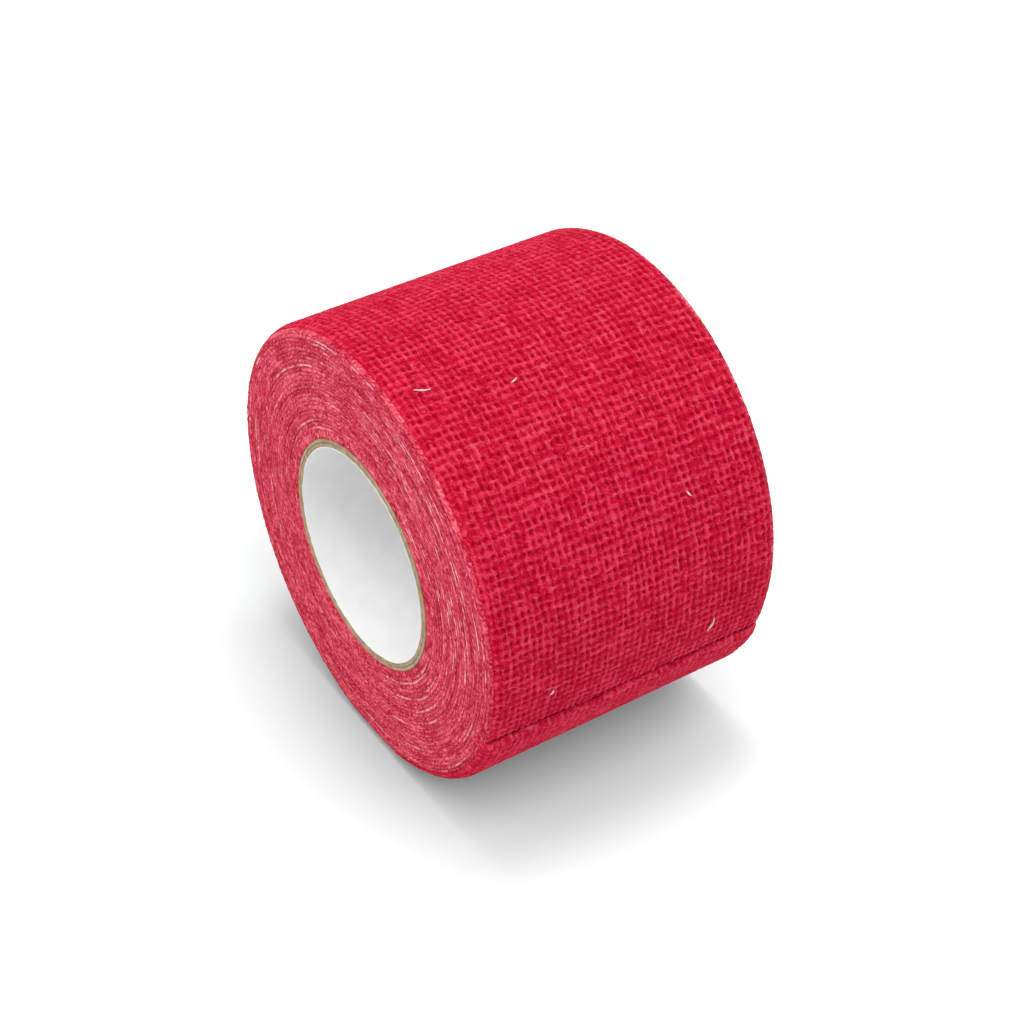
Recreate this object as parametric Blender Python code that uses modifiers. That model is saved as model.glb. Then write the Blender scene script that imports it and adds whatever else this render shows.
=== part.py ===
"""Hand wrap: a roll of self-adherent gauze tape on a paperboard core, lying on its side.

Frame: metres, +Z up, origin on the ground under the middle of the roll. The roll's axis runs
along X. Angles round the roll are in degrees from straight down, positive towards -Y, and
they go on counting down from the tape's free end inwards, one turn every 360 degrees.
"""
import math

import bmesh
import bpy
from mathutils import Vector

MM = 0.001

# The tape. Its long winding is modelled in three runs that follow one another, each so many
# turns in from the tail.
TAPE_WIDTH = 50.0 * MM
TAPE_THICKNESS = 0.56 * MM
WINDING_PITCH = 0.64 * MM
FREE_END_RADIUS = 35.94 * MM
TURNS = 26.5
SPLIT_TURNS = {"wound_tape_outer": 9, "wound_tape_middle": 18}

# The core, from the bore outwards
BORE_RADIUS = 16.80 * MM
LINER_THICKNESS = 0.20 * MM
BOARD_THICKNESS = 0.54 * MM
PLY_GAP = 0.06 * MM
SEAM_ANGLE = 1.0
SEAM_LEAN = 48.0
PLY_COLUMNS = 40
PLY_ROWS = 4
SEAM_STAGGER = 13

# Where the tape's tail folds as it is peeled off, and the sole that the soft roll rests on
FREE_END_ANGLE = 68.0
HINGE_ANGLES = {"tail_root": 20.0, "tail_middle": 36.0, "tail_end": 52.0}
HINGE_GAP = 0.20 * MM
SOLE_HALF_ANGLE = 8.0

# The turned-under hem at the free end
HEM_START_ANGLE = 62.6
HEM_RISE_ANGLE = 1.6
HEM_NOSE_ANGLE = 0.6

# One turn of the winding as stretches of (first angle, last angle, flats). Every turn has its
# corners at the same angles, so the layers nest.
TURN_STRETCHES = (
    (68.0, 20.0, 6),
    (20.0, 8.0, 2),
    (8.0, -8.0, 2),
    (-8.0, -90.0, 8),
    (-90.0, -270.0, 16),
    (-270.0, -292.0, 2),
)

RED_TAPE = (0.584, 0.014, 0.045)
TAN_BOARD = (0.515, 0.352, 0.188)
WHITE_PAPER = (0.790, 0.790, 0.780)


def outer_radius(angle):
    """Radius of the tape's outer face, which shrinks by one pitch every turn."""
    return FREE_END_RADIUS - WINDING_PITCH * (FREE_END_ANGLE - angle) / 360.0


AXIS_HEIGHT = outer_radius(SOLE_HALF_ANGLE) * math.cos(math.radians(SOLE_HALF_ANGLE))
AXIS_Y = (outer_radius(-270.0) - outer_radius(-90.0)) / 2.0
CORE_RADIUS = BORE_RADIUS + LINER_THICKNESS + 2.0 * (PLY_GAP + BOARD_THICKNESS)


def on_roll(across, radius, angle):
    """The point at a distance across the tape, a radius and an angle round the roll."""
    turn = math.radians(angle)
    return Vector((across, AXIS_Y - radius * math.sin(turn), AXIS_HEIGHT - radius * math.cos(turn)))


def pressed(radius, angle):
    """Radius after the roll's own weight has pressed its sole flat, less and less inwards."""
    facing = (angle + 180.0) % 360.0 - 180.0
    if abs(facing) > SOLE_HALF_ANGLE:
        return radius
    flat = AXIS_HEIGHT / math.cos(math.radians(facing))
    share = (flat - CORE_RADIUS) / (outer_radius(facing) - CORE_RADIUS)
    return CORE_RADIUS + (radius - CORE_RADIUS) * share


def arc_degrees(length, radius):
    """The angle that a short length takes up at a radius."""
    return math.degrees(length / radius)


def corner_angles(first, last):
    """The winding's corners between two angles, with the two ends themselves."""
    angles = [first]
    turn = 0
    while angles[-1] > last:
        for start, stop, flats in TURN_STRETCHES:
            for flat in range(flats):
                angle = start + (stop - start) * flat / flats - 360.0 * turn
                if last < angle < first:
                    angles.append(angle)
        turn += 1
        if FREE_END_ANGLE - 360.0 * turn <= last:
            angles.append(last)
    return angles


def material(name, colour, roughness):
    """A plain finish for one kind of material."""
    made = bpy.data.materials.new(name)
    made.use_nodes = True
    shader = made.node_tree.nodes["Principled BSDF"]
    shader.inputs["Base Color"].default_value = (*colour, 1.0)
    shader.inputs["Roughness"].default_value = roughness
    shader.inputs["Metallic"].default_value = 0.0
    return made


def rolled_sheet(name, columns, rows, place, thickness, finish, group, hinge=None):
    """A thin sheet rolled along its length: a grid bent by place(along, across), made solid.

    place takes along from 0 to 1 and across from -1 to 1 and gives the outer face's point.
    """
    mesh = bpy.data.meshes.new(name)
    grid = bmesh.new()
    bmesh.ops.create_grid(grid, x_segments=columns, y_segments=rows, size=1.0)
    base = Vector((0.0, 0.0, 0.0)) if hinge is None else hinge_point(HINGE_ANGLES[name])
    for vertex in grid.verts:
        vertex.co = place((vertex.co.x + 1.0) / 2.0, vertex.co.y) - base
    grid.to_mesh(mesh)
    grid.free()
    mesh.shade_smooth()
    mesh.materials.append(finish)
    sheet = bpy.data.objects.new(name, mesh)
    group.objects.link(sheet)
    sheet.parent = hinge
    solid = sheet.modifiers.new("thickness", "SOLIDIFY")
    solid.thickness = thickness
    solid.offset = -1.0
    solid.use_even_offset = True
    return sheet


def core_ply(name, outer, thickness, number, finish, group):
    """One ply of the core, a strip bent round with a leaning butt seam.

    The seams of neighbouring plies are a whole number of flats apart, so the plies nest.
    """
    wrap = 360.0 - SEAM_ANGLE
    seam = number * SEAM_STAGGER * wrap / PLY_COLUMNS

    def place(along, across):
        angle = seam + SEAM_LEAN * across / 2.0 - wrap * along
        return on_roll(across * TAPE_WIDTH / 2.0, outer, angle)

    return rolled_sheet(name, PLY_COLUMNS, PLY_ROWS, place, thickness, finish, group)


def wound_strip(name, first, last, finish, group, hinge=None):
    """A stretch of the tape between two angles, lying in its place in the spiral."""
    angles = corner_angles(first, last)
    columns = len(angles) - 1

    def place(along, across):
        angle = angles[round(along * columns)]
        return on_roll(across * TAPE_WIDTH / 2.0, pressed(outer_radius(angle), angle), angle)

    return rolled_sheet(name, columns, 1, place, TAPE_THICKNESS, finish, group, hinge)


def hinge_point(angle):
    """Where the tail folds: the outer face of the tape, so that it opens without overlap."""
    return on_roll(0.0, outer_radius(angle), angle)


def hinge_empty(name, angle, parent, group):
    """An empty on a fold's axis, which runs along X, riding on the fold before it."""
    empty = bpy.data.objects.new(name, None)
    group.objects.link(empty)
    empty.empty_display_size = 5.0 * MM
    empty.location = hinge_point(angle)
    if parent is not None:
        empty.parent = parent
        empty.location -= hinge_point(HINGE_ANGLES[parent.name.replace("_hinge", "")])
    return empty


def hem_outline(first):
    """Outline of the tail's last segment from its fold to the turned-under end."""
    hem_radius = outer_radius(FREE_END_ANGLE) + TAPE_THICKNESS
    risen = HEM_START_ANGLE + HEM_RISE_ANGLE
    nose = FREE_END_ANGLE - HEM_NOSE_ANGLE
    middle = (first + HEM_START_ANGLE) / 2.0
    outline = [(outer_radius(angle), angle) for angle in (first, middle, HEM_START_ANGLE)]
    outline += [(hem_radius, risen), (hem_radius, nose)]
    outline += [(hem_radius - 0.5 * TAPE_THICKNESS, FREE_END_ANGLE)]
    inner = [FREE_END_ANGLE, 60.0, first]
    outline += [(outer_radius(angle) - TAPE_THICKNESS, angle) for angle in inner]
    return outline


def hemmed_end(name, first, finish, group, hinge):
    """The tail's last segment, a flat outline extruded to the tape's width."""
    base = hinge_point(HINGE_ANGLES[name])
    curve = bpy.data.curves.new(name, "CURVE")
    curve.dimensions = "2D"
    curve.fill_mode = "BOTH"
    curve.extrude = TAPE_WIDTH / 2.0
    outline = [on_roll(0.0, radius, angle) - base for radius, angle in hem_outline(first)]
    spline = curve.splines.new("POLY")
    spline.points.add(len(outline) - 1)
    for point, place in zip(spline.points, outline):
        point.co = (place.y, place.z, 0.0, 1.0)
    spline.use_cyclic_u = True
    curve.materials.append(finish)
    end = bpy.data.objects.new(name, curve)
    group.objects.link(end)
    end.rotation_euler = (math.radians(90.0), 0.0, math.radians(90.0))
    end.parent = hinge
    return end


def build():
    """The core's plies from the bore outwards, the wound tape, and the tail on its folds."""
    parts = bpy.data.collections.new("hand_wrap")
    bpy.context.scene.collection.children.link(parts)
    red = material("red_latex_gauze", RED_TAPE, 0.80)
    tan = material("tan_chipboard", TAN_BOARD, 0.90)
    white = material("white_paper", WHITE_PAPER, 0.75)

    radius = BORE_RADIUS + LINER_THICKNESS
    core_ply("core_liner", radius, LINER_THICKNESS, 0, white, parts)
    for number, name in enumerate(("core_board_inner", "core_board_outer"), 1):
        radius += PLY_GAP + BOARD_THICKNESS
        core_ply(name, radius, BOARD_THICKNESS, number, tan, parts)

    half_gap = arc_degrees(HINGE_GAP / 2.0, FREE_END_RADIUS)
    root, middle, end = HINGE_ANGLES.values()
    first = root - half_gap
    for name, turns in SPLIT_TURNS.items():
        last = root - 360.0 * turns
        wound_strip(name, first, last + half_gap, red, parts)
        first = last - half_gap
    wound_strip("wound_tape_inner", first, FREE_END_ANGLE - 360.0 * TURNS, red, parts)
    root_hinge = hinge_empty("tail_root_hinge", root, None, parts)
    middle_hinge = hinge_empty("tail_middle_hinge", middle, root_hinge, parts)
    end_hinge = hinge_empty("tail_end_hinge", end, middle_hinge, parts)
    wound_strip("tail_root", middle - half_gap, root + half_gap, red, parts, root_hinge)
    wound_strip("tail_middle", end - half_gap, middle + half_gap, red, parts, middle_hinge)
    hemmed_end("tail_end", end + half_gap, red, parts, end_hinge)


def main():
    """Empty the scene and build the hand wrap in it."""
    for leftover in list(bpy.data.objects):
        bpy.data.objects.remove(leftover, do_unlink=True)
    build()


main()
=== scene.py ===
"""Looks of a hand wrap: a roll of red latex-coated gauze tape on a paperboard core.

Lengths are in metres. Angles round the roll are in degrees from straight down, positive
towards -Y. A place along the tape is given as "unwound": the degrees of winding between it
and the tape's free end.
"""
import logging
import math
from dataclasses import dataclass
from enum import Enum
from typing import Callable, Optional, Sequence

import bmesh
import bpy
import numpy as np
from bpy.types import Material, Node, NodeSocket, NodeTree, Object, Spline
from mathutils import Matrix, Vector

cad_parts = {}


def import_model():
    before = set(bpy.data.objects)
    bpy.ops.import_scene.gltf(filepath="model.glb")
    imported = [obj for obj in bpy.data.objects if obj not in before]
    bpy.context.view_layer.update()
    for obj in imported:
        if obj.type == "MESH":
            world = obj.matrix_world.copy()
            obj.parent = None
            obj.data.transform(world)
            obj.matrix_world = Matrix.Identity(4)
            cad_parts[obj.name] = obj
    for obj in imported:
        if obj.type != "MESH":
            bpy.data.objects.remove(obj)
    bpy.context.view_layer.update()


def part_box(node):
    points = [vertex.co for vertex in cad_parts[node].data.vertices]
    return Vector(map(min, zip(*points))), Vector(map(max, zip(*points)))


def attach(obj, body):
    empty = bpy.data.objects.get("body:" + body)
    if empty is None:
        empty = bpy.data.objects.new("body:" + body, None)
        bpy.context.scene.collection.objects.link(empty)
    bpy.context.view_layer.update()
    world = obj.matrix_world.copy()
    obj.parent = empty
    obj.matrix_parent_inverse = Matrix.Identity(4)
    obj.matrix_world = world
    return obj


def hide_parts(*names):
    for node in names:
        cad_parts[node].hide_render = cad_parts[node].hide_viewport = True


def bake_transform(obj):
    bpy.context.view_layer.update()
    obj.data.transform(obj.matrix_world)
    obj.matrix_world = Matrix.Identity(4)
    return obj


MM = 0.001
LOG = logging.getLogger("hand_wrap")

Colour = tuple[float, float, float]
Point = tuple[float, float, float]


class End(Enum):
    """The two ends of the roll, by the sign of X that they face."""

    NEAR = -1.0
    FAR = 1.0


# -------- finishes


def set_shader(material: Material, **values: object) -> Node:
    """Set constant values on a material's Principled shader.

    Args:
        material: the material, with nodes on.
        values: socket names with underscores for spaces, and their values.

    Returns:
        The Principled shader node.
    """
    shader = material.node_tree.nodes["Principled BSDF"]
    for name, value in values.items():
        shader.inputs[name.replace("_", " ")].default_value = value
    return shader


def new_material(name: str) -> Material:
    """Return a new material with nodes on."""
    material = bpy.data.materials.new(name)
    material.use_nodes = True
    return material


@dataclass(frozen=True)
class RampStop:
    """One colour of a ramp: where it sits, and its linear colour."""

    place: float
    colour: Colour


def add_ramp(tree: NodeTree, stops: Sequence[RampStop]) -> Node:
    """Add a colour ramp with the given stops and return its node."""
    ramp = tree.nodes.new("ShaderNodeValToRGB")
    elements = ramp.color_ramp.elements
    while len(elements) < len(stops):
        elements.new(0.5)
    for element, stop in zip(elements, stops):
        element.position = stop.place
        element.color = (*stop.colour, 1.0)
    return ramp


def add_noise(tree: NodeTree, size: float, detail: float) -> Node:
    """Add a noise texture on Object coordinates.

    Args:
        tree: the material's node tree.
        size: the length of one patch of the noise, in metres.
        detail: the noise's detail.

    Returns:
        The noise node.
    """
    place = tree.nodes.get("Texture Coordinate") or tree.nodes.new("ShaderNodeTexCoord")
    noise = tree.nodes.new("ShaderNodeTexNoise")
    noise.inputs["Scale"].default_value = 1.0 / size
    noise.inputs["Detail"].default_value = detail
    tree.links.new(place.outputs["Object"], noise.inputs["Vector"])
    return noise


def feed(tree: NodeTree, into: NodeSocket,
         value: float | Colour | NodeSocket) -> None:
    """Link a socket to an input, or set a constant number or colour on it."""
    if isinstance(value, NodeSocket):
        tree.links.new(value, into)
    elif isinstance(value, tuple):
        into.default_value = (*value, 1.0)
    else:
        into.default_value = value


def mix_colours(
    tree: NodeTree,
    factor: float | NodeSocket,
    first: Colour | NodeSocket,
    second: Colour | NodeSocket,
    blend: str = "MIX",
) -> NodeSocket:
    """Mix two colours.

    Args:
        tree: the material's node tree.
        factor: how much of the second colour there is, a constant or a socket.
        first: the first colour, a constant or a socket.
        second: the second colour, a constant or a socket.
        blend: how the second is laid on the first.

    Returns:
        The socket with the mixed colour.
    """
    mix = tree.nodes.new("ShaderNodeMix")
    mix.data_type = "RGBA"
    mix.blend_type = blend
    feed(tree, mix.inputs["Factor"], factor)
    feed(tree, mix.inputs["A"], first)
    feed(tree, mix.inputs["B"], second)
    return mix.outputs["Result"]


@dataclass(frozen=True)
class Grain:
    """Fine roughness of a surface: patch size, noise detail, depth and strength."""

    size: float
    detail: float
    depth: float
    strength: float

    def add(self, tree: NodeTree) -> None:
        """Bump the material's surface with the grain."""
        noise = add_noise(tree, self.size, self.detail)
        bump = tree.nodes.new("ShaderNodeBump")
        bump.inputs["Distance"].default_value = self.depth
        bump.inputs["Strength"].default_value = self.strength
        tree.links.new(noise.outputs["Fac"], bump.inputs["Height"])
        shader = tree.nodes["Principled BSDF"]
        tree.links.new(bump.outputs["Normal"], shader.inputs["Normal"])


@dataclass(frozen=True)
class LatexGauze:
    """Red latex over gauze: deep red in the holes, which is painted shade, and paler along the
    threads' crowns, partly worn latex and partly painted highlight.
    """

    name: str
    stops: tuple[RampStop, ...]
    pale: Colour
    roughness: float = 0.75
    specular: float = 0.04
    bounced: Colour = (0.06, 0.03, 0.03)
    fluff_size: float = 0.26 * MM
    fluff: float = 1.2
    patch_size: float = 5.0 * MM
    patches: tuple[RampStop, ...] = (
        RampStop(0.3, (0.95, 0.95, 0.95)),
        RampStop(0.7, (1.0, 1.0, 1.0)),
    )
    detail: float = 3.0
    grain: Grain = Grain(0.18 * MM, 4.0, 0.04 * MM, 0.6)

    def roughened(self, tree: NodeTree, relief: Node,
                  noise: Node) -> NodeSocket:
        """Add the unevenness of loose fibres to the relief.

        Args:
            tree: the material's node tree.
            relief: the node that reads the relief.
            noise: the noise of the fibres, from 0 to 1.

        Returns:
            The socket with the sum.
        """
        centred = tree.nodes.new("ShaderNodeMath")
        centred.operation = "SUBTRACT"
        centred.inputs[1].default_value = 0.5
        tree.links.new(noise.outputs["Fac"], centred.inputs[0])
        added = tree.nodes.new("ShaderNodeMath")
        added.operation = "MULTIPLY_ADD"
        added.inputs[1].default_value = self.fluff
        tree.links.new(centred.outputs[0], added.inputs[0])
        tree.links.new(relief.outputs["Fac"], added.inputs[2])
        return added.outputs[0]

    def make(self) -> Material:
        """Build the material. It reads the attributes relief and pale."""
        material = new_material(self.name)
        tree = material.node_tree
        relief = tree.nodes.new("ShaderNodeAttribute")
        relief.attribute_name = "relief"
        pale = tree.nodes.new("ShaderNodeAttribute")
        pale.attribute_name = "pale"
        # The ramp paints shade: low relief goes dark red, high relief goes light, partly as
        # painted highlight
        ramp = add_ramp(tree, self.stops)
        fluff = add_noise(tree, self.fluff_size, self.detail)
        tree.links.new(self.roughened(tree, relief, fluff), ramp.inputs["Fac"])
        # Pale crowns: on the face, worn latex and painted highlight; on the cut edge, bare
        # cotton
        worn_and_lit = mix_colours(tree, pale.outputs["Fac"], ramp.outputs["Color"], self.pale)
        patch = add_noise(tree, self.patch_size, self.detail)
        shade = add_ramp(tree, self.patches)
        tree.links.new(patch.outputs["Fac"], shade.inputs["Fac"])
        dyed = mix_colours(tree, 1.0, worn_and_lit, shade.outputs["Color"], "MULTIPLY")
        path = tree.nodes.new("ShaderNodeLightPath")
        quiet = mix_colours(tree, path.outputs["Is Diffuse Ray"], dyed, self.bounced)
        shader = set_shader(
            material, Roughness=self.roughness, Specular_IOR_Level=self.specular
        )
        tree.links.new(quiet, shader.inputs["Base Color"])
        self.grain.add(tree)
        return material


@dataclass(frozen=True)
class Mottled:
    """A dry finish whose colour wanders between its stops in soft patches."""

    name: str
    stops: tuple[RampStop, ...]
    roughness: float
    patch_size: float
    detail: float
    grain: Grain
    sheen: float = 0.0

    def make(self) -> Material:
        """Build the material."""
        material = new_material(self.name)
        tree = material.node_tree
        noise = add_noise(tree, self.patch_size, self.detail)
        ramp = add_ramp(tree, self.stops)
        tree.links.new(noise.outputs["Fac"], ramp.inputs["Fac"])
        shader = set_shader(material, Roughness=self.roughness, Sheen_Weight=self.sheen)
        tree.links.new(ramp.outputs["Color"], shader.inputs["Base Color"])
        self.grain.add(tree)
        return material


# The tape's face, and the sides that the knife has cut
TAPE_FACE = LatexGauze(
    name="latex_gauze",
    # Low stops are painted shade in the holes; the top stop is partly painted highlight on the
    # crowns
    stops=(
        RampStop(0.05, (0.300, 0.0002, 0.0060)),
        RampStop(0.35, (0.480, 0.0020, 0.0240)),
        RampStop(0.65, (0.590, 0.0090, 0.0420)),
        RampStop(0.95, (0.720, 0.0420, 0.0940)),
    ),
    # Colour of the pale crowns: worn latex and painted highlight
    pale=(0.960, 0.220, 0.280),
)
CUT_EDGE = LatexGauze(
    name="cut_gauze",
    stops=(
        RampStop(0.05, (0.400, 0.0040, 0.0260)),
        RampStop(0.35, (0.610, 0.0300, 0.0680)),
        RampStop(0.65, (0.740, 0.0700, 0.1200)),
        RampStop(0.95, (0.920, 0.1700, 0.2300)),
    ),
    pale=(0.93, 0.62, 0.60),
)

# Bare cotton of the stray fibres
BARE_COTTON = Mottled(
    name="bare_cotton",
    stops=(RampStop(0.35, (0.860, 0.440, 0.430)), RampStop(0.65, (0.950, 0.740, 0.700))),
    roughness=0.8,
    patch_size=0.7 * MM,
    detail=3.0,
    grain=Grain(0.12 * MM, 3.0, 0.03 * MM, 0.6),
    sheen=0.3,
)

# Raw tan board with darker fibres and a rough cut
CHIPBOARD = Mottled(
    name="chipboard",
    stops=(
        RampStop(0.30, (0.270, 0.180, 0.100)),
        RampStop(0.55, (0.420, 0.300, 0.180)),
        RampStop(0.80, (0.520, 0.410, 0.280)),
    ),
    roughness=0.9,
    patch_size=1.2 * MM,
    detail=6.0,
    grain=Grain(0.15 * MM, 4.0, 0.06 * MM, 0.8),
)

# White paper with faint cloudy mottling
LINER_PAPER = Mottled(
    name="liner_paper",
    stops=(RampStop(0.30, (0.800, 0.800, 0.797)), RampStop(0.70, (0.850, 0.850, 0.847))),
    roughness=0.7,
    patch_size=3.0 * MM,
    detail=4.0,
    grain=Grain(0.3 * MM, 4.0, 0.02 * MM, 0.5),
)


# -------- the winding


def facing(angle: np.ndarray) -> np.ndarray:
    """Bring angles into the range from -180 to 180 degrees."""
    return (np.asarray(angle, float) + 180.0) % 360.0 - 180.0


@dataclass(frozen=True)
class Winding:
    """The tape's spiral on the core, in the roll's own frame."""

    axis_y: float
    axis_z: float
    half_width: float
    core_radius: float
    free_end_angle: float = 68.0
    free_end_radius: float = 35.94 * MM
    pitch: float = 0.64 * MM
    turns: float = 26.5
    sole_half_angle: float = 8.0

    @classmethod
    def from_frame(cls) -> "Winding":
        """Read the roll's axis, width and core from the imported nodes."""
        low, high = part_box("core_liner")
        board_low, board_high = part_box("core_board_outer")
        return cls(
            axis_y=(low.y + high.y) / 2.0,
            axis_z=(low.z + high.z) / 2.0,
            half_width=(high.x - low.x) / 2.0,
            core_radius=(board_high.z - board_low.z) / 2.0,
        )

    def angle(self, unwound: np.ndarray) -> np.ndarray:
        """Angle round the roll of a place along the tape."""
        return self.free_end_angle - np.asarray(unwound, float)

    def radius(self, unwound: np.ndarray) -> np.ndarray:
        """Radius of the tape's outer face at a place along it."""
        return self.free_end_radius - self.pitch * np.asarray(unwound, float) / 360.0

    def pressed(self, radius: np.ndarray, angle: np.ndarray) -> np.ndarray:
        """Radius after the roll's weight has pressed its sole flat, less and less inwards."""
        near = facing(angle)
        # Far from the sole the result isn't used, so the angle is only kept from dividing by 0
        flat = self.axis_z / np.cos(np.radians(np.clip(near, -30.0, 30.0)))
        full = self.radius(self.free_end_angle - near)
        share = (flat - self.core_radius) / (full - self.core_radius)
        squeezed = self.core_radius + (radius - self.core_radius) * share
        return np.where(np.abs(near) < self.sole_half_angle, squeezed, radius)

    def place(self, across: np.ndarray, radius: np.ndarray, angle: np.ndarray) -> np.ndarray:
        """Points at distances across the tape, radii and angles round the roll."""
        turn = np.radians(angle)
        radius = self.pressed(radius, angle)
        across, radius, turn = np.broadcast_arrays(across, radius, turn)
        y = self.axis_y - radius * np.sin(turn)
        z = self.axis_z - radius * np.cos(turn)
        return np.stack([across, y, z], -1)


class SmoothField:
    """A seeded smooth random field on the plane, with patches one unit wide."""

    def __init__(self, seed: int, size: int = 64) -> None:
        """Draw the field's lattice of random values."""
        self.size = size
        self.lattice = np.random.default_rng(seed).uniform(-1.0, 1.0, (size, size))

    def at(self, first: np.ndarray, second: np.ndarray) -> np.ndarray:
        """Read the field, from -1 to 1, at two coordinates in patches."""
        first, second = np.broadcast_arrays(np.asarray(first, float), np.asarray(second, float))
        row, column = np.floor(first).astype(int), np.floor(second).astype(int)
        down, right = first - row, second - column
        down, right = down * down * (3 - 2 * down), right * right * (3 - 2 * right)
        corner = self.lattice[row % self.size, column % self.size]
        below = self.lattice[(row + 1) % self.size, column % self.size]
        beside = self.lattice[row % self.size, (column + 1) % self.size]
        across = self.lattice[(row + 1) % self.size, (column + 1) % self.size]
        upper = corner + (beside - corner) * right
        lower = below + (across - below) * right
        return upper + (lower - upper) * down


# -------- the cloth


@dataclass(frozen=True)
class Lanes:
    """The mesh lines along a run of parallel threads.

    A lane is one thread with half a gap on each side. Each line has its thread's number, an
    offset from that thread in pitches, and a height from 0 to 1.
    """

    thread: np.ndarray
    offset: np.ndarray
    height: np.ndarray

    @property
    def place(self) -> np.ndarray:
        """Where each line lies, in pitches."""
        return self.thread + self.offset

    def spread(self, swell: np.ndarray) -> np.ndarray:
        """Where each line lies when the threads, but not the gaps, swell by a factor."""
        return self.thread + self.offset * np.where(self.height > 0.0, swell, 1.0)

    def inside(self) -> np.ndarray:
        """A coordinate that changes from thread to thread and a little within one."""
        return (self.thread + 1.1 * self.offset) * 7.3


@dataclass(frozen=True)
class LatexSkin:
    """The latex in the holes of the weave: some are open, some are filled over.

    Each hole draws a number from 0 to 1. The more it passes the threshold, the higher the
    skin stands. The draw is raised in patches, at the tape's edges and at its free end.
    """

    threshold: float = 0.36
    slope: float = 0.80
    highest: float = 0.52
    drawn: tuple[int, int] = (64, 512)
    patch_gain: float = 0.14
    patch_threads: float = 5.0
    edge_gain: float = 0.5
    edge_threads: float = 2.0
    end_gain: float = 0.25
    end_threads: float = 6.0
    lumps: float = 0.16
    lumps_a_thread: float = 2.7
    rim_height: float = 0.45


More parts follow.
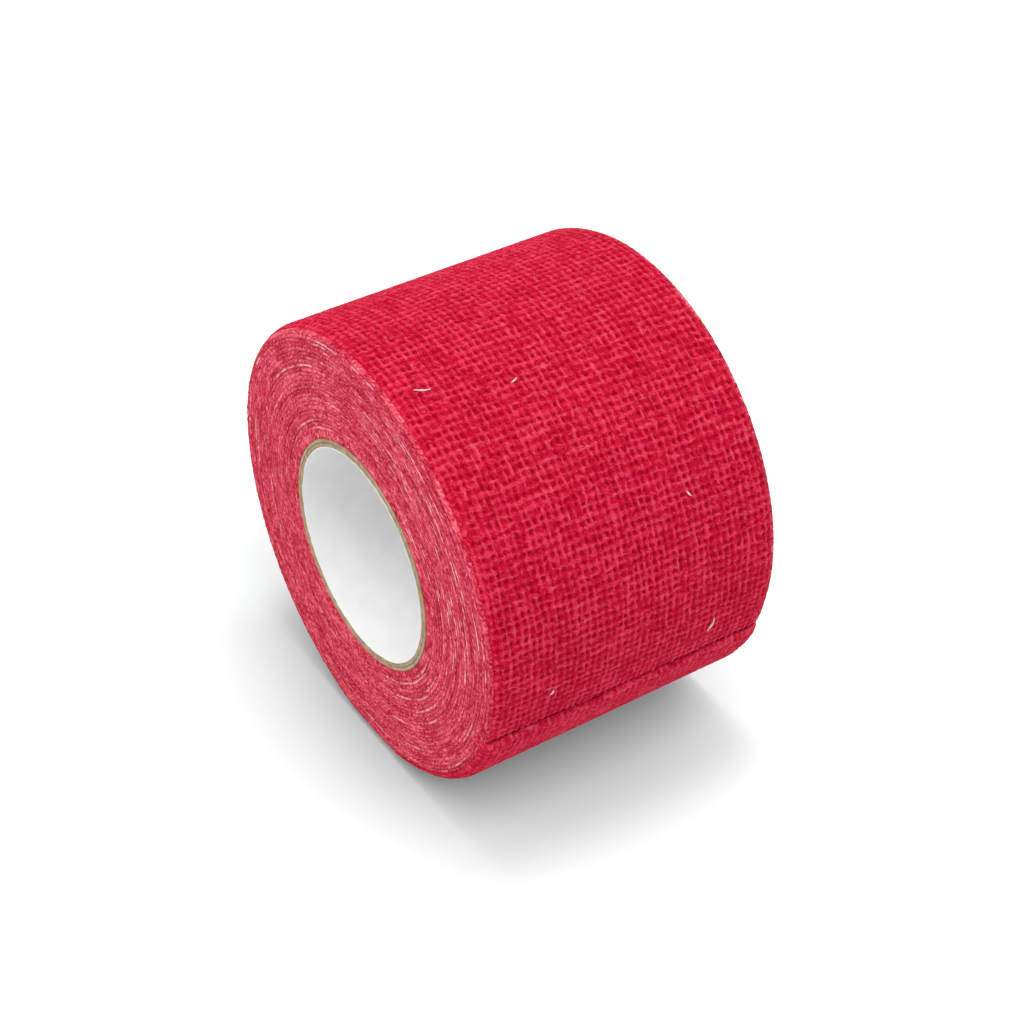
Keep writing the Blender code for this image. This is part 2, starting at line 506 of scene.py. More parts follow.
@dataclass(frozen=True)
class Weave:
    """Open plain weave under latex: where its threads lie and how high they stand.

    Random fields are read at a and b, the numbers of the warp and the weft. The factors on
    them set how long the patches are. The numbers added keep two readings of one field apart.
    """

    warp_threads: int = 46
    warp_pitch: float = 1.115 * MM
    weft_pitch: float = 1.32 * MM
    depth: float = 0.34 * MM
    middle: float = 0.80
    crimp: float = 0.14
    crossing: float = 0.9
    line_offsets: tuple[float, ...] = (-0.5, -0.28, -0.14, 0.0, 0.14, 0.28)
    line_heights: tuple[float, ...] = (0.0, 0.34, 0.86, 0.84, 0.86, 0.34)
    crest_height: float = 0.8
    wobble: float = 0.13
    kink: float = 0.15
    width_change: float = 0.26
    unevenness: float = 0.42
    grain: float = 0.13
    # How much the painted crest highlight is dimmed where it breaks off
    crest_dimming: float = 0.22
    wear_and_highlight_from: float = 0.55
    wear_and_highlight: float = 0.4
    skew: float = 0.035
    skin: LatexSkin = LatexSkin()
    seed: int = 11

    def weft_step(self, winding: Winding) -> float:
        """Degrees of winding between neighbouring weft threads in the outer turns."""
        return math.degrees(self.weft_pitch / (winding.free_end_radius - 0.4 * MM))

    def lanes(self, first: int, count: int, shape: tuple[int, int]) -> Lanes:
        """Lay mesh lines over a run of threads, up to and with the gap after the last.

        Args:
            first: the number of the first thread.
            count: how many threads.
            shape: the shape that turns the lines into a column or a row.

        Returns:
            The lines.
        """
        thread = np.repeat(np.arange(first, first + count), len(self.line_offsets))
        thread = np.append(thread, first + count)
        offset = np.append(np.tile(self.line_offsets, count), self.line_offsets[0])
        height = np.append(np.tile(self.line_heights, count), self.line_heights[0])
        return Lanes(thread.reshape(shape), offset.reshape(shape), height.reshape(shape))

    def surface(self, first_weft: int, wefts: int) -> dict[str, np.ndarray]:
        """Lay out the relief over a run of weft threads.

        Args:
            first_weft: number of the first weft thread, counted from the free end.
            wefts: how many weft threads.

        Returns:
            Arrays over the mesh grid: across, in warp pitches from the middle; along, in
            weft pitches from the free end; relief, shade and pale, from 0 to 1.
        """
        warp = self.lanes(0, self.warp_threads, (-1, 1))
        weft = self.lanes(first_weft, wefts, (1, -1))
        a, b = np.broadcast_arrays(warp.place, weft.place)
        across, along = self.drifted(warp, weft, a, b)
        relief = self.relief(warp, weft, a, b)
        fibres = np.random.default_rng(self.seed + first_weft).normal(0.0, 1.0, relief.shape)
        crest = (warp.height > self.crest_height) | (weft.height > self.crest_height)
        # Painted highlight on the crests is taken down in patches, so it shows in dashes
        dimmed_crest = crest & (SmoothField(self.seed + 9).at(a * 1.1, b * 1.1) < 0.0)
        shade = relief + self.grain * fibres - self.crest_dimming * dimmed_crest
        return {
            "across": across - (self.warp_threads - 1) / 2.0,
            "along": along,
            "relief": relief,
            "shade": np.clip(shade, 0.0, 1.0),
            "pale": self.pale(warp, weft, a, b),
        }

    def drifted(
        self, warp: Lanes, weft: Lanes, a: np.ndarray, b: np.ndarray
    ) -> tuple[np.ndarray, np.ndarray]:
        """Let the threads wander from their straight lines and change in width.

        Args:
            warp: the lines along the warp threads.
            weft: the lines along the weft threads.
            a: each point's place in warp pitches.
            b: each point's place in weft pitches.

        Returns:
            The places across and along the tape, in pitches.
        """
        drift, swell = SmoothField(self.seed), SmoothField(self.seed + 1)
        warp_swell = swell.at(warp.thread * 3.7, b / 5.0)
        weft_swell = swell.at(a / 5.0, weft.thread * 2.9 + 17.3)
        across = warp.spread(1.0 + self.width_change * warp_swell)
        along = weft.spread(1.0 + self.width_change * weft_swell)
        sway = drift.at(a * 1.3, b / 3.0) + drift.at(a / 9.0, b / 9.0)
        across = across + self.wobble * sway
        across = across + self.kink * drift.at(a * 0.9 + 40.0, b * 1.1)
        sway = drift.at(a / 3.0 + 31.0, b * 1.3) + drift.at(a / 8.0 + 9.0, b / 8.0)
        along = along + self.wobble * sway
        along = along + self.kink * drift.at(a * 1.1 + 12.0, b * 0.9 + 50.0)
        return across, along

    def relief(self, warp: Lanes, weft: Lanes, a: np.ndarray, b: np.ndarray) -> np.ndarray:
        """Find how high the cloth stands: its threads, or the skin between them.

        Args:
            warp: the lines along the warp threads.
            weft: the lines along the weft threads.
            a: each point's place in warp pitches.
            b: each point's place in weft pitches.

        Returns:
            The height at each point, from 0 to 1.
        """
        drift = SmoothField(self.seed)
        over = np.cos(np.pi * (warp.thread + b))
        under = np.cos(np.pi * (a + weft.thread))
        warp_body = 1.0 + self.unevenness * drift.at(warp.inside() + 5.0, b / 0.8)
        weft_body = 1.0 + self.unevenness * drift.at(a / 0.8, weft.inside() + 29.0)
        warps = warp.height * (self.middle + self.crimp * over) * warp_body
        wefts = weft.height * (self.middle - self.crimp * under) * weft_body
        net = warps + wefts - self.crossing * warps * wefts
        return np.clip(np.maximum(net, self.film(a, b)), 0.0, 1.0)

    def film(self, a: np.ndarray, b: np.ndarray) -> np.ndarray:
        """Find how high the latex skin stands at each point, as if there were no threads.

        Args:
            a: each point's place in warp pitches.
            b: each point's place in weft pitches.

        Returns:
            The skin's height, in the same measure as the relief.
        """
        skin = self.skin
        patches = SmoothField(self.seed + 2)
        column, row = np.floor(a).astype(int), np.floor(b).astype(int)
        draw = np.random.default_rng(self.seed + 5).uniform(0.0, 1.0, skin.drawn)
        chance = draw[column % skin.drawn[0], row % skin.drawn[1]]
        patch = patches.at(a / skin.patch_threads, b / skin.patch_threads)
        chance = chance + skin.patch_gain * patch
        to_edge = np.minimum(a, self.warp_threads - 1.0 - a)
        edge = 1.0 - np.clip(to_edge, 0.0, skin.edge_threads) / skin.edge_threads
        free_end = np.clip(1.0 - (b + 0.5) / skin.end_threads, 0.0, 1.0)
        chance = chance + skin.edge_gain * edge + skin.end_gain * free_end
        film = np.clip(skin.slope * (chance - skin.threshold), 0.0, skin.highest)
        lump = patches.at(a * skin.lumps_a_thread, b * skin.lumps_a_thread)
        return np.where(b < -0.4, skin.rim_height, film + skin.lumps * lump)

    def pale(self, warp: Lanes, weft: Lanes, a: np.ndarray, b: np.ndarray) -> np.ndarray:
        """How much paler the crowns are, from 0 to 1: latex rubbed thin, and painted highlight
        in spots.
        """
        spots = SmoothField(self.seed + 3)
        warp_spot = spots.at(a * 7.7, b / 0.6) * (warp.height > self.crest_height)
        weft_spot = spots.at(a / 0.6 + 20.0, b * 7.7) * (weft.height > self.crest_height)
        spot = np.maximum(warp_spot, weft_spot) - self.wear_and_highlight_from
        return np.clip(spot / (1.0 - self.wear_and_highlight_from), 0.0, 1.0) * self.wear_and_highlight


# Gives the unwound degrees and the extra radius at places along the tape in weft pitches
Path = Callable[[np.ndarray], tuple[np.ndarray, np.ndarray]]


@dataclass
class Cloth:
    """Makes woven pieces of the tape over any run of its winding."""

    winding: Winding
    weave: Weave
    material: Material
    rim_radius: float = 2.2 * MM
    rim_sweep: float = 70.0
    thinned: float = 2.0 * MM
    thinnest: float = 0.3

    def unwound(self, along: np.ndarray) -> np.ndarray:
        """Degrees of winding at a place given in weft pitches from the free end."""
        return along * self.weave.weft_step(self.winding)

    @property
    def cut_half_width(self) -> float:
        """Half the cloth's width, from its outermost mesh line to its middle."""
        return self.weave.warp_threads / 2.0 * self.weave.warp_pitch

    def rounded_rim(
        self, across: np.ndarray, height: np.ndarray
    ) -> tuple[np.ndarray, np.ndarray]:
        """Where the cloth lies over the roll's rounded rims.

        Args:
            across: distance across the cloth from its middle.
            height: height of the relief, measured out from the cloth's outer face.

        Returns:
            The place along the roll's axis, and the drop below the roll's side.
        """
        straight = self.winding.half_width - self.rim_radius
        past = np.clip(np.abs(across) - straight, 0.0, None) / self.rim_radius
        full = self.cut_half_width - straight
        past = past * math.radians(self.rim_sweep) * self.rim_radius / full
        place = np.minimum(np.abs(across), straight) + (self.rim_radius + height) * np.sin(past)
        drop = self.rim_radius - (self.rim_radius + height) * np.cos(past)
        return np.sign(across) * place, drop

    def panel(self, name: str, first_weft: int, wefts: int,
              lift: Optional[Path] = None) -> Object:
        """Weave one panel of the tape.

        Args:
            name: the piece's name.
            first_weft: number of its first weft thread from the free end.
            wefts: how many weft threads it has.
            lift: gives the unwound angle and the extra radius for places along the tape,
                where it doesn't simply follow the winding.

        Returns:
            The panel, with its material and attributes.
        """
        laid = self.weave.surface(first_weft, wefts)
        across = laid["across"] * self.weave.warp_pitch
        inward = (self.cut_half_width - np.abs(across)) / self.thinned
        depth = self.weave.depth * np.clip(inward, self.thinnest, 1.0)
        x, drop = self.rounded_rim(across, depth * (laid["relief"] - 1.0))
        along = laid["along"]
        unwound, extra = (self.unwound(along), 0.0) if lift is None else lift(along)
        # The wefts lean: the tape was wound slightly skewed
        unwound = unwound + self.unwound(self.weave.skew * across / self.weave.weft_pitch)
        radius = self.winding.radius(unwound) + extra - drop
        points = self.winding.place(x, radius, self.winding.angle(unwound))
        return grid_piece(name, points, self.material, relief=laid["shade"], pale=laid["pale"])


def grid_piece(name: str, points: np.ndarray, material: Material,
               **attributes: np.ndarray) -> Object:
    """Make a grid and put its vertices at the given points.

    Args:
        name: the piece's name.
        points: array (first, second, 3); first runs along the grid's X, second along its Y.
        material: its finish.
        attributes: arrays (first, second) kept as point attributes.

    Returns:
        The new object.
    """
    first, second = points.shape[:2]
    grid = bmesh.new()
    bmesh.ops.create_grid(grid, x_segments=first - 1, y_segments=second - 1, size=1.0)
    mesh = bpy.data.meshes.new(name)
    grid.to_mesh(mesh)
    grid.free()
    flat = np.empty(len(mesh.vertices) * 3)
    mesh.vertices.foreach_get("co", flat)
    flat = flat.reshape(-1, 3)
    i = np.rint((flat[:, 0] + 1.0) / 2.0 * (first - 1)).astype(int)
    j = np.rint((flat[:, 1] + 1.0) / 2.0 * (second - 1)).astype(int)
    mesh.vertices.foreach_set("co", points[i, j].ravel())
    for key, values in attributes.items():
        layer = mesh.attributes.new(key, "FLOAT", "POINT")
        layer.data.foreach_set("value", values[i, j].astype(np.float32))
    mesh.update()
    mesh.shade_smooth()
    mesh.materials.append(material)
    piece = bpy.data.objects.new(name, mesh)
    bpy.context.scene.collection.objects.link(piece)
    return piece


# -------- the wound tape


@dataclass(frozen=True)
class Shaving:
    """A warp thread that the knife has shaved along the tape's edge.

    It is given by its radius, the angle of its middle and its length in degrees.
    """

    radius: float
    middle: float
    length: float


NEAR_SHAVINGS = tuple(
    Shaving(radius * MM, middle, length) for radius, middle, length in (
        (34.0, -168.0, 12.0), (33.4, -164.0, 9.0), (31.0, -161.0, 16.0),
        (29.9, -144.0, 36.0), (27.3, -118.0, 20.0), (24.6, -161.0, 23.0),
        (21.2, -135.0, 36.0), (19.9, -153.0, 22.0), (28.3, -74.0, 23.0),
        (25.0, -28.0, 16.0), (23.3, 38.0, 54.0), (25.2, 48.0, 29.0), (20.7, 38.0, 50.0),
        (19.7, 61.0, 22.0), (32.1, 66.0, 14.0), (30.1, 126.0, 44.0), (28.7, 130.0, 37.0),
        (27.2, 158.0, 29.0), (32.3, 146.0, 31.0),
    )
)

# The section of the tape's cut edge, from its outer face down to its inner face: how far
# down each line lies, and how far it is pulled in, both from 0 to 1
EDGE_SHARE = np.array([0.0, 0.0, 0.20, 0.40, 0.60, 0.80, 1.0, 1.0])[:, None]
EDGE_INSET = np.array([1.0, 0.25, 0.08, 0.0, 0.0, 0.08, 0.25, 1.0])[:, None]


@dataclass
class WoundTape:
    """The turns on the core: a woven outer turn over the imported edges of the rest."""

    winding: Winding
    cloth: Cloth
    edge_material: Material
    first_weft: int = 27
    wefts: int = 172
    wefts_a_turn: float = 170.0
    turn_radius: float = 35.6 * MM
    panels: int = 4
    samples_a_weft: int = 4
    edge_curl: float = 0.40 * MM
    under_cloth: float = 0.12 * MM
    edge_depth: float = 0.12 * MM
    edge_grain: float = 0.02 * MM
    edge_waves: float = 0.05 * MM
    groove_depth: float = 0.03 * MM
    shade: float = 0.38
    lump_shade: float = 0.36
    grain_shade: float = 0.24
    mottle: float = 0.24
    core_gap: float = 0.03 * MM
    hidden_from: float = 352.0
    covered: float = 69.0
    start_taper: float = 4.0
    scattered: int = 60
    seed: int = 41

    def outer_turn(self) -> list[Object]:
        """Weave the outer turn in panels that meet at the gaps between weft threads."""
        bounds = np.linspace(self.first_weft, self.first_weft + self.wefts, self.panels + 1)
        bounds = np.rint(bounds).astype(int)
        made = []
        for number, (start, stop) in enumerate(zip(bounds[:-1], bounds[1:]), 1):
            made.append(self.cloth.panel(f"outer_turn_{number}", int(start), int(stop - start)))
        return made

    def stations(self) -> np.ndarray:
        """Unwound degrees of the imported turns' samples, evenly spaced along the tape."""
        fine = np.linspace(self.hidden_from, self.winding.turns * 360.0, 4000)
        middle = self.winding.radius(fine) - 0.3 * MM
        run = np.concatenate([[0.0], np.cumsum(np.diff(np.radians(fine)) * middle[1:])])
        count = int(run[-1] / (self.cloth.weave.weft_pitch / self.samples_a_weft))
        return np.interp(np.linspace(0.0, run[-1], count), run, fine)

    def rim_inset(self, radius: np.ndarray) -> np.ndarray:
        """How far the rounded rim pulls the tape's edge in at a radius."""
        rim = self.cloth.rim_radius
        bend = rim - self.under_cloth
        above = np.clip(radius - (self.winding.free_end_radius - rim), 0.0, bend)
        return rim - np.sqrt(bend**2 - above**2) - self.under_cloth

    def shaved(self, end: End, unwound: np.ndarray) -> np.ndarray:
        """Shave the edge along some of its warp threads.

        Args:
            end: which end of the roll the edge is at.
            unwound: the stations.

        Returns:
            How bare of latex the edge is at each station, from 0 to 1.
        """
        random = np.random.default_rng(self.seed + int(end is End.FAR))
        shavings = list(NEAR_SHAVINGS) if end is End.NEAR else []
        for _ in range(self.scattered):
            radius = random.uniform(19.0, 34.5) * MM
            middle = random.choice([random.uniform(-180, 180), random.uniform(90, 180)])
            shavings.append(Shaving(radius, middle, random.uniform(4.0, 18.0)))
        angle = facing(self.winding.angle(unwound))
        radius = self.winding.radius(unwound)
        bare = np.zeros(len(unwound))
        for shaving in shavings:
            off = np.abs(facing(angle - shaving.middle)) / (shaving.length / 2.0)
            layer = np.abs(radius - shaving.radius) < self.winding.pitch / 2.0
            bare = np.maximum(bare, layer * np.clip((1.0 - off) * 4.0, 0.0, 1.0))
        beads = random.uniform(0.2, 1.0, len(unwound))
        broken = SmoothField(self.seed + 6).at(unwound / 1.7, unwound / 360.0 * 5.1)
        beads = np.maximum(beads, np.roll(beads, 1) * 0.8)
        return bare * beads * np.clip(0.70 + 1.6 * broken, 0.0, 1.0)

    def edge_drop(self, unwound: np.ndarray) -> np.ndarray:
        """How far each line of the edge lies below the tape's outer face.

        Args:
            unwound: the stations.

        Returns:
            An array (section, station).
        """
        last = unwound > (self.winding.turns - 1.0) * 360.0
        on_core = self.winding.radius(unwound) - self.winding.core_radius - self.core_gap
        bottom = np.where(last, on_core, self.winding.pitch)
        covered = unwound < self.hidden_from + self.covered
        top = np.where(covered, 1.1 * self.cloth.weave.depth, 0.0)
        grown = np.clip((unwound - self.hidden_from) / self.start_taper, 0.02, 1.0)
        top = bottom - (bottom - top) * grown
        return top + EDGE_SHARE * (bottom - top)

    def weft_ends(self, count: int, random: np.random.Generator) -> np.ndarray:
        """How far the cut weft threads stand out at each station, from 0 to 1."""
        station = np.arange(count)
        weft = station / self.samples_a_weft
        drift = SmoothField(60).at(weft / 9.0, weft / 70.0)
        raised = 0.5 + 0.5 * np.cos(2.0 * np.pi * (weft + drift))
        sizes = random.uniform(0.2, 1.0, count // self.samples_a_weft + 1)
        return raised * sizes[station // self.samples_a_weft]

    def edge(self, end: End, unwound: np.ndarray) -> dict[str, np.ndarray]:
        """Shape one edge of the tape over its stations.

        Args:
            end: which end of the roll the edge is at.
            unwound: the stations.

        Returns:
            Arrays (section, station): across, drop below the outer face, relief, pale.
        """
        random = np.random.default_rng(self.seed + 10 + int(end is End.FAR))
        drop = self.edge_drop(unwound)
        ends = self.weft_ends(len(unwound), random)
        grain = random.normal(0.0, 1.0, drop.shape)
        lump = ends * np.exp(-(((EDGE_SHARE - 0.45) / 0.28) ** 2))
        turn = unwound / 360.0
        uneven = SmoothField(self.seed + 3).at(unwound / 30.0, turn * 1.7 + 9.0 * end.value)
        radius = self.winding.radius(unwound)

        folded = EDGE_INSET > 0.5
        away = EDGE_INSET * np.where(folded, self.edge_curl, 2.0 * self.groove_depth)
        away = away - self.edge_depth * lump + self.edge_grain * grain * (EDGE_INSET < 0.5)
        away = away + self.edge_waves * (1.0 + uneven) + 0.5 * self.edge_depth
        away = away + self.rim_inset(radius - drop)

        crest = 0.45 + 0.25 * SmoothField(self.seed + 4).at(unwound / 6.0, turn * 3.3)
        bare = self.shaved(end, unwound) * np.exp(-(((EDGE_SHARE - crest) / 0.16) ** 2))
        layer = radius / self.winding.pitch
        clouds = SmoothField(self.seed + 8)
        mottle = clouds.at(unwound / 9.0, layer / 3.0)
        mottle = mottle + clouds.at(unwound / 3.0 + 31.0, layer / 1.3)
        # Painted light and shade: weft ends that stand out are lighter, the gaps between them
        # darker; mottle and grain are the edge's own uneven tone
        relief = self.shade + self.lump_shade * lump + self.mottle * mottle
        relief = relief + self.grain_shade * grain
        return {
            "across": end.value * (self.winding.half_width - away),
            "drop": drop,
            "relief": np.clip(relief, 0.0, 1.0),
            "pale": np.clip(bare + 0.06 * lump + 0.05 * grain, 0.0, 1.0),
        }

    def packed_turns(self) -> list[tuple[Object, float]]:
        """Build the turns under the outer one, spiral ribbons that make the roll's ends.

        Returns:
            Each ribbon with the length of its tape.
        """
        unwound = self.stations()
        near, far = self.edge(End.NEAR, unwound), self.edge(End.FAR, unwound)
        whole = {key: np.concatenate([near[key][::-1], far[key]]) for key in near}
        outer = self.winding.radius(unwound)
        angle = self.winding.angle(unwound)
        points = self.winding.place(whole["across"], outer - whole["drop"], angle)
        half = len(unwound) // 2
        runs = {
            "packed_outer_turns": slice(0, half + 1),
            "packed_inner_turns": slice(half, None),
        }
        made = []
        for name, run in runs.items():
            relief, pale = whole["relief"][:, run], whole["pale"][:, run]
            material = self.edge_material
            piece = grid_piece(name, points[:, run], material, relief=relief, pale=pale)
            length = float(np.sum(np.diff(np.radians(unwound[run])) * outer[run][1:]))
            LOG.info("%s: %.3f m of tape", name, length)
            made.append((piece, length))
        return made

    def build(self) -> list[Object]:
        """Build and dress every piece that stays on the roll."""
        turns = self.outer_turn()
        packed = self.packed_turns()
        pieces = [*(piece for piece, _ in packed), *turns]
        for piece in pieces:
            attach(piece, "roll")
        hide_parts("wound_tape_outer", "wound_tape_middle")
        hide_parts("wound_tape_inner")
        return pieces


@dataclass(frozen=True)
class Fibre:
    """A loose end of cotton: where it lies, its length, and its turn from the axis.

    It is given by its distance from the near end and its length, both in millimetres, and
    by its angle round the roll and its heading in degrees.
    """

    inward: float
    angle: float
    length: float
    heading: float


FIBRES = (
    Fibre(5.3, 163.0, 2.3, -22.0),
    Fibre(18.0, 157.0, 1.2, 20.0),
    Fibre(35.8, 118.0, 1.1, -60.0),
    Fibre(38.9, 79.0, 2.7, 72.0),
    Fibre(10.5, 81.0, 1.0, 60.0),
)


@dataclass
class StrayFibres:
    """Loose ends of cotton that stand on the roll's side."""

    winding: Winding
    material: Material
    thickness: float = 0.13 * MM
    points: int = 7
    off_side: float = 0.05 * MM
    lifted: float = 0.10 * MM
    seed: int = 71

    def lay(self, fibre: Fibre, spline: Spline, random: np.random.Generator) -> None:
        """Lay one fibre along the roll's side, slightly curled and thinner at its ends.

        Args:
            fibre: which fibre.
            spline: a spline with one point.
            random: the fibres' random numbers.
        """
        curl = random.uniform(8.0, 25.0)
        spline.points.add(self.points - 1)
        side = self.winding.radius(self.winding.free_end_angle - fibre.angle + 360.0)
        for step, point in enumerate(spline.points):
            middle = step / (self.points - 1) - 0.5
            along = middle * fibre.length
            bend = math.radians(fibre.heading + curl * along / fibre.length)
            aside = along * math.sin(bend) * MM
            turn = math.degrees(aside / self.winding.free_end_radius)
            lift = self.off_side + self.lifted * random.uniform()
            x = -self.winding.half_width + fibre.inward * MM + along * math.cos(bend) * MM
            place = self.winding.place(x, float(side) + lift, fibre.angle + turn)
            point.co = (*[float(value) for value in place], 1.0)
            point.radius = 1.0 - 1.4 * abs(middle) + 0.3 * random.uniform()
        spline.use_smooth = True

    def build(self) -> list[Object]:
        """Build the fibres as thin bent tubes."""
        random = np.random.default_rng(self.seed)
        curve = bpy.data.curves.new("stray_fibres", "CURVE")
        curve.dimensions = "3D"
        curve.bevel_depth = self.thickness
        curve.bevel_resolution = 2
        curve.resolution_u = 4
        for fibre in FIBRES:
            self.lay(fibre, curve.splines.new("POLY"), random)
        curve.materials.append(self.material)
        piece = bpy.data.objects.new("stray_fibres", curve)
        bpy.context.scene.collection.objects.link(piece)
        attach(piece, "roll")
        return [piece]


# -------- the tail


@dataclass(frozen=True)
class TailPiece:
    """A stretch of the tail: the bodies on both sides of its fold, and its weft threads.

    The fold is an angle round the roll.
    """

    name: str
    inner: str
    outer: str
    fold: float
    first_weft: int
    wefts: int


TAIL_PIECES = (
    TailPiece("tail_by_end", "tail_middle", "tail_end", 52.0, 0, 11),
    TailPiece("tail_by_middle", "tail_root", "tail_middle", 36.0, 11, 8),
    TailPiece("tail_by_root", "roll", "tail_root", 20.0, 19, 8),
)


@dataclass
class Tail:
    """The free end of the outer turn, in three pieces that each lie over one of its folds."""

    winding: Winding
    cloth: Cloth
    nose_length: float = 0.9 * MM
    nose_drop: float = 0.66 * MM
    thickness: float = 0.2 * MM
    bent: float = 7.0

    def hem(self, along: np.ndarray) -> tuple[np.ndarray, np.ndarray]:
        """Round the free end off down to the turn below it.

        Args:
            along: places along the tape in weft pitches from the free end.

        Returns:
            The unwound degrees and the extra radius at each place.
        """
        run = (along + 0.5) * self.cloth.weave.weft_pitch
        share = np.clip(run / self.nose_length, 0.0, 1.0)
        round_off = share * share * (3.0 - 2.0 * share)
        return self.cloth.unwound(along), -self.nose_drop * (1.0 - round_off)

    def build(self) -> list[Object]:
        """Build the tail's pieces, each lying over one fold and given a thickness."""
        made = []
        side = self.winding.free_end_radius
        for part in TAIL_PIECES:
            lift = self.hem if part.first_weft == 0 else None
            piece = self.cloth.panel(part.name, part.first_weft, part.wefts, lift)
            solid = piece.modifiers.new("thickness", "SOLIDIFY")
            solid.thickness = self.thickness
            solid.offset = -1.0
            start = self.winding.place(0.0, side, part.fold - self.bent)
            stop = self.winding.place(0.0, side, part.fold + self.bent)
            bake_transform(piece)
            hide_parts(part.outer)
            made.append(piece)
        return made


# -------- the core


@dataclass(frozen=True)
class Ply:
    """One ply of the core: its node and slot, its two radii and how ragged its cut is."""

    name: str
    node: str
    slot: str
    inner: float
    outer: float
    ragged: float
    seed: int


PLIES = (
    Ply("liner_ply", "core_liner", "core_liner", 16.80 * MM, 17.02 * MM, 0.10 * MM, 50),
    Ply("inner_board_ply", "core_board_inner", "core_board",
        17.03 * MM, 17.61 * MM, 0.04 * MM, 51),
    Ply("outer_board_ply", "core_board_outer", "core_board",
        17.63 * MM, 18.22 * MM, 0.05 * MM, 52),
)


@dataclass
class Core:
    """The paperboard core: two plies of board with a white liner."""

    winding: Winding
    board: Material
    paper: Material
    segments: int = 192
    rows: int = 7
    lip: float = 0.12 * MM
    sharp_from: float = 50.0

    def section(self, ply: Ply) -> tuple[np.ndarray, np.ndarray, float]:
        """Outline a ply's wall, with its corners taken off.

        Args:
            ply: which ply.

        Returns:
            Places along the axis, their radii, and the corners' size.
        """
        w = self.winding.half_width
        lip = min(self.lip, (ply.outer - ply.inner) / 3.0)
        end_x = [w - lip, w, w, w - lip]
        end_r = [ply.outer, ply.outer - lip * 0.6, ply.inner + lip * 0.6, ply.inner]
        inside = list(np.linspace(w - lip, -(w - lip), self.rows + 2)[1:-1])
        x = end_x + inside + [-value for value in end_x[::-1]] + [w - lip]
        r = end_r + [ply.inner] * len(inside) + end_r[::-1] + [ply.outer]
        return np.array(x)[:, None], np.array(r)[:, None], lip

    def ring(self, ply: Ply, material: Material) -> Object:
        """Turn one ply round the axis: a thin wall with slightly ragged cut edges.

        Args:
            ply: which ply.
            material: its finish.

        Returns:
            The ply.
        """
        x, r, lip = self.section(ply)
        turn = np.linspace(0.0, 360.0, self.segments + 1)
        side = np.sign(x)
        rough = SmoothField(ply.seed)
        wave = rough.at(turn / 6.0, side * 3.0) + 0.6 * rough.at(turn / 2.5, side * 5.0 + 9.0)
        wave = ply.ragged * wave
        wave[:, -1] = wave[:, 0]
        cut = np.abs(x) > self.winding.half_width - 2 * lip
        x = x - side * np.where(cut, np.abs(wave), 0.0)
        angle = np.radians(turn)
        y = self.winding.axis_y - r * np.sin(angle)
        z = self.winding.axis_z - r * np.cos(angle)
        piece = grid_piece(ply.name, np.stack([x, y, z], -1), material)
        mesh = bmesh.new()
        mesh.from_mesh(piece.data)
        bmesh.ops.remove_doubles(mesh, verts=mesh.verts, dist=1e-7)
        bmesh.ops.recalc_face_normals(mesh, faces=mesh.faces)
        mesh.to_mesh(piece.data)
        mesh.free()
        piece.data.set_sharp_from_angle(angle=math.radians(self.sharp_from))
        return piece

    def build(self) -> list[Object]:
        """Build the plies and hide the plain ones that they stand for."""
        finishes = {"core_liner": self.paper, "core_board": self.board}
        made = []
        for ply in PLIES:
            piece = self.ring(ply, finishes[ply.slot])
            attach(piece, "roll")
            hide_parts(ply.node)
            made.append(piece)
        return made


# -------- the studio


@dataclass(frozen=True)
class Lamp:
    """A soft square light: where it hangs, its side, its power, and what it lights.

    The lamps that light the floor light nothing else, so that the floor stays white and
    the roll's shadow soft.
    """

    name: str
    place: Point
    size: float
    power: float
    lights_floor: bool


LAMPS = (
    Lamp("key", (-0.40, 0.0, 0.85), 0.4, 3.0, False),
    Lamp("top", (0.1, -0.3, 0.95), 0.9, 1.0, False),
    Lamp("floor_wash", (0.05, 0.06, 0.9), 0.3, 2.4, True),
    Lamp("floor_front", (0.05, -0.5, 0.75), 0.7, 2.6, True),
)


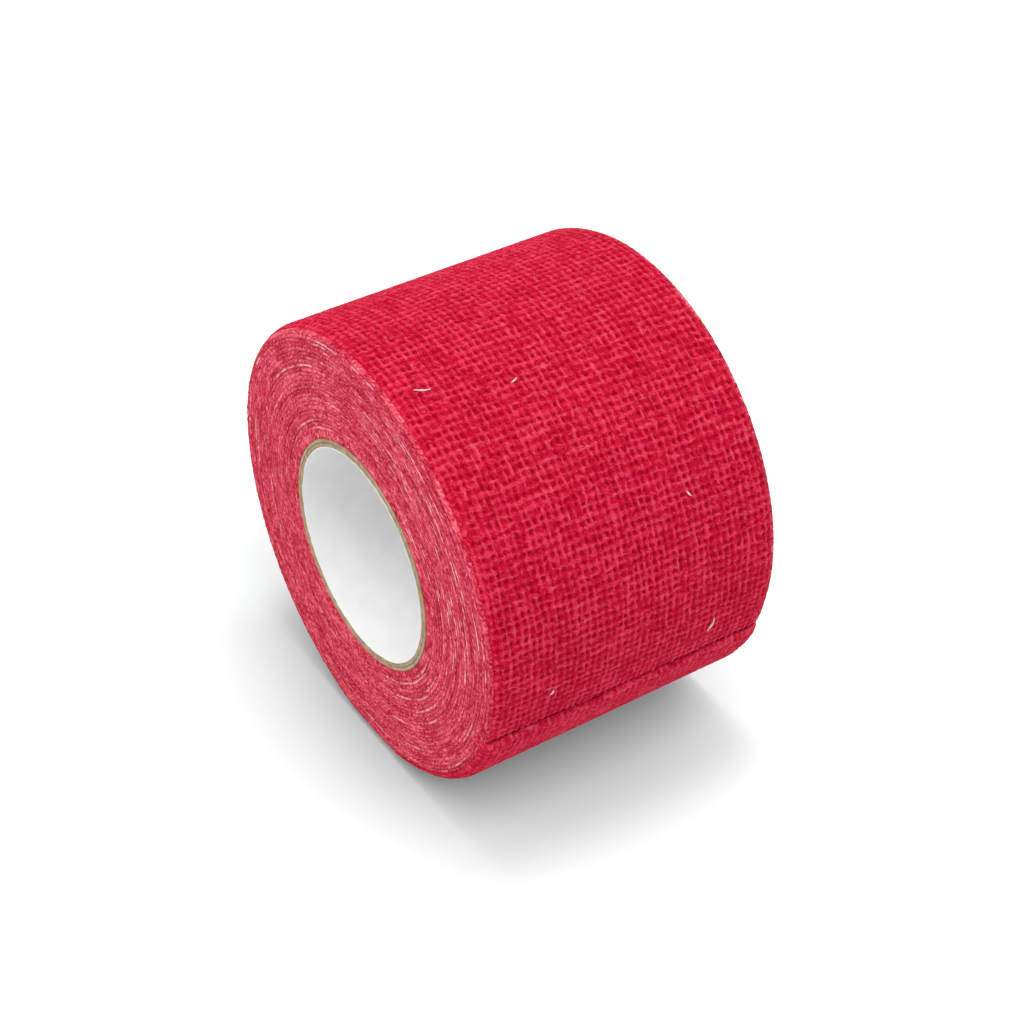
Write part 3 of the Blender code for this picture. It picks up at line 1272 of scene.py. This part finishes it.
@dataclass(frozen=True)
class Studio:
    """Plain white floor, soft lights and the camera."""

    lens: float = 81.43
    right: Point = (0.8333, -0.5528, 0.0)
    forward: Point = (0.4326, 0.6521, -0.6225)
    distance: float = 339.0258 * MM
    aside: float = 22.0957 * MM
    above: float = 6.7785 * MM
    floor_half_width: float = 3.0
    floor_colour: Colour = (0.91, 0.92, 0.92)
    floor_bounce: Colour = (0.70, 0.70, 0.70)
    lamp_aim: Point = (0.0, 0.0, 0.03)
    sky: float = 0.9

    def camera(self, winding: Winding) -> None:
        """Stand the camera where it sees the near end from the left and above."""
        right = Vector(self.right).normalized()
        forward = Vector(self.forward).normalized()
        up = right.cross(forward)
        near = Vector((-winding.half_width, winding.axis_y, winding.axis_z))
        place = near + self.aside * right + self.above * up - self.distance * forward
        turn = Matrix((right, up, -forward)).transposed().to_4x4()
        turn.translation = place
        camera = bpy.data.objects.new("camera", bpy.data.cameras.new("camera"))
        camera.data.lens = self.lens
        camera.data.sensor_width = 36.0
        camera.data.clip_start = 0.01
        camera.data.clip_end = 10.0
        camera.matrix_world = turn
        bpy.context.scene.collection.objects.link(camera)
        bpy.context.scene.camera = camera

    def floor(self) -> Object:
        """Lay the floor and return it."""
        plane = bmesh.new()
        bmesh.ops.create_grid(plane, x_segments=1, y_segments=1, size=self.floor_half_width)
        mesh = bpy.data.meshes.new("floor")
        plane.to_mesh(mesh)
        plane.free()
        material = new_material("floor_white")
        shader = set_shader(material, Roughness=0.95, Specular_IOR_Level=0.0)
        tree = material.node_tree
        path = tree.nodes.new("ShaderNodeLightPath")
        bounced = path.outputs["Is Diffuse Ray"]
        seen = mix_colours(tree, bounced, self.floor_colour, self.floor_bounce)
        tree.links.new(seen, shader.inputs["Base Color"])
        mesh.materials.append(material)
        floor = bpy.data.objects.new("floor", mesh)
        bpy.context.scene.collection.objects.link(floor)
        return floor

    def light(self, lamp: Lamp, floor: Object) -> None:
        """Hang one lamp, and keep its light on the floor or off it.

        Args:
            lamp: which lamp.
            floor: the floor.
        """
        data = bpy.data.lights.new(lamp.name, "AREA")
        data.size = lamp.size
        data.energy = lamp.power
        hung = bpy.data.objects.new(lamp.name, data)
        hung.location = lamp.place
        aim = Vector(self.lamp_aim) - Vector(lamp.place)
        hung.rotation_euler = aim.to_track_quat("-Z", "Y").to_euler()
        bpy.context.scene.collection.objects.link(hung)
        reached = bpy.data.collections.new(lamp.name + "_reach")
        reached.objects.link(floor)
        linking = reached.collection_objects[0].light_linking
        linking.link_state = "INCLUDE" if lamp.lights_floor else "EXCLUDE"
        hung.light_linking.receiver_collection = reached

    def build(self, winding: Winding) -> None:
        """Set up the whole studio."""
        self.camera(winding)
        floor = self.floor()
        for lamp in LAMPS:
            self.light(lamp, floor)
        world = bpy.data.worlds.new("world")
        world.use_nodes = True
        background = world.node_tree.nodes["Background"]
        background.inputs["Color"].default_value = (1.0, 1.0, 1.0, 1.0)
        background.inputs["Strength"].default_value = self.sky
        bpy.context.scene.world = world
        bpy.context.scene.view_settings.view_transform = "Standard"


def main() -> None:
    """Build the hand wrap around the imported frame."""
    logging.basicConfig(level=logging.INFO, format="%(message)s")
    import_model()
    winding = Winding.from_frame()
    cloth = Cloth(winding, Weave(), TAPE_FACE.make())
    pieces = Core(winding, CHIPBOARD.make(), LINER_PAPER.make()).build()
    pieces += WoundTape(winding, cloth, CUT_EDGE.make()).build()
    pieces += Tail(winding, cloth).build()
    pieces += StrayFibres(winding, BARE_COTTON.make()).build()
    for piece in pieces:
        made = piece.data.polygons if piece.type == "MESH" else piece.data.splines
        LOG.info("%s: %d faces or strands", piece.name, len(made))
    Studio().build(winding)


if __name__ == "__main__":
    main()
